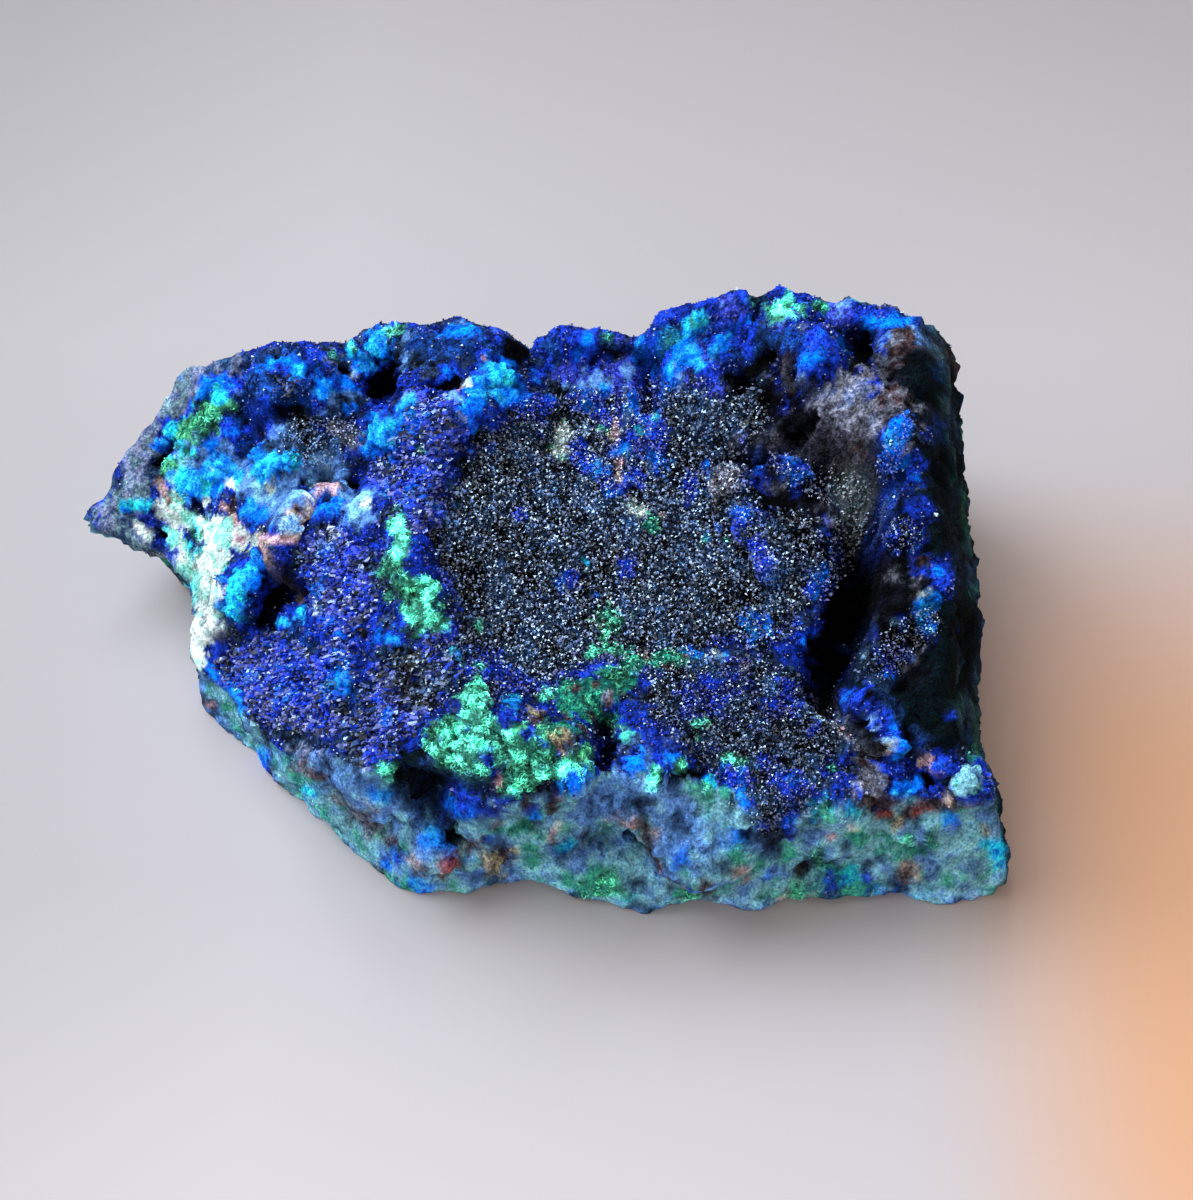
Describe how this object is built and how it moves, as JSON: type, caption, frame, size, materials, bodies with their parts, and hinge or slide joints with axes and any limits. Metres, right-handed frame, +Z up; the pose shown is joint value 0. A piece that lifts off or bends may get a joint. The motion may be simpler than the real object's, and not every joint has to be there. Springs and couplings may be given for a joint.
{
  "type": "azurite and malachite specimen",
  "caption": "Loose hand specimen of copper ore: a rough blue and green block with a hollow lined by dark sparkling azurite crystals, resting on its flat base.",
  "frame": {"origin": "on the flat base, under the middle of the specimen's box", "axes": "+Z up out of the base, +X along the length from the thin point to the blunt end, +Y towards the high back"},
  "size_m": [0.112, 0.072, 0.0424],
  "materials": {
    "host_rock": "rough broken ore: velvety azure and ultramarine azurite, mint malachite, mauve-grey limonite, chalky white and teal weathered faces",
    "azurite_druse": "glossy near-black navy crystals with white glints"
  },
  "bodies": {
    "root": {"host_rock": "host_rock", "azurite_druse": "azurite_druse"}
  },
  "joints": []
}
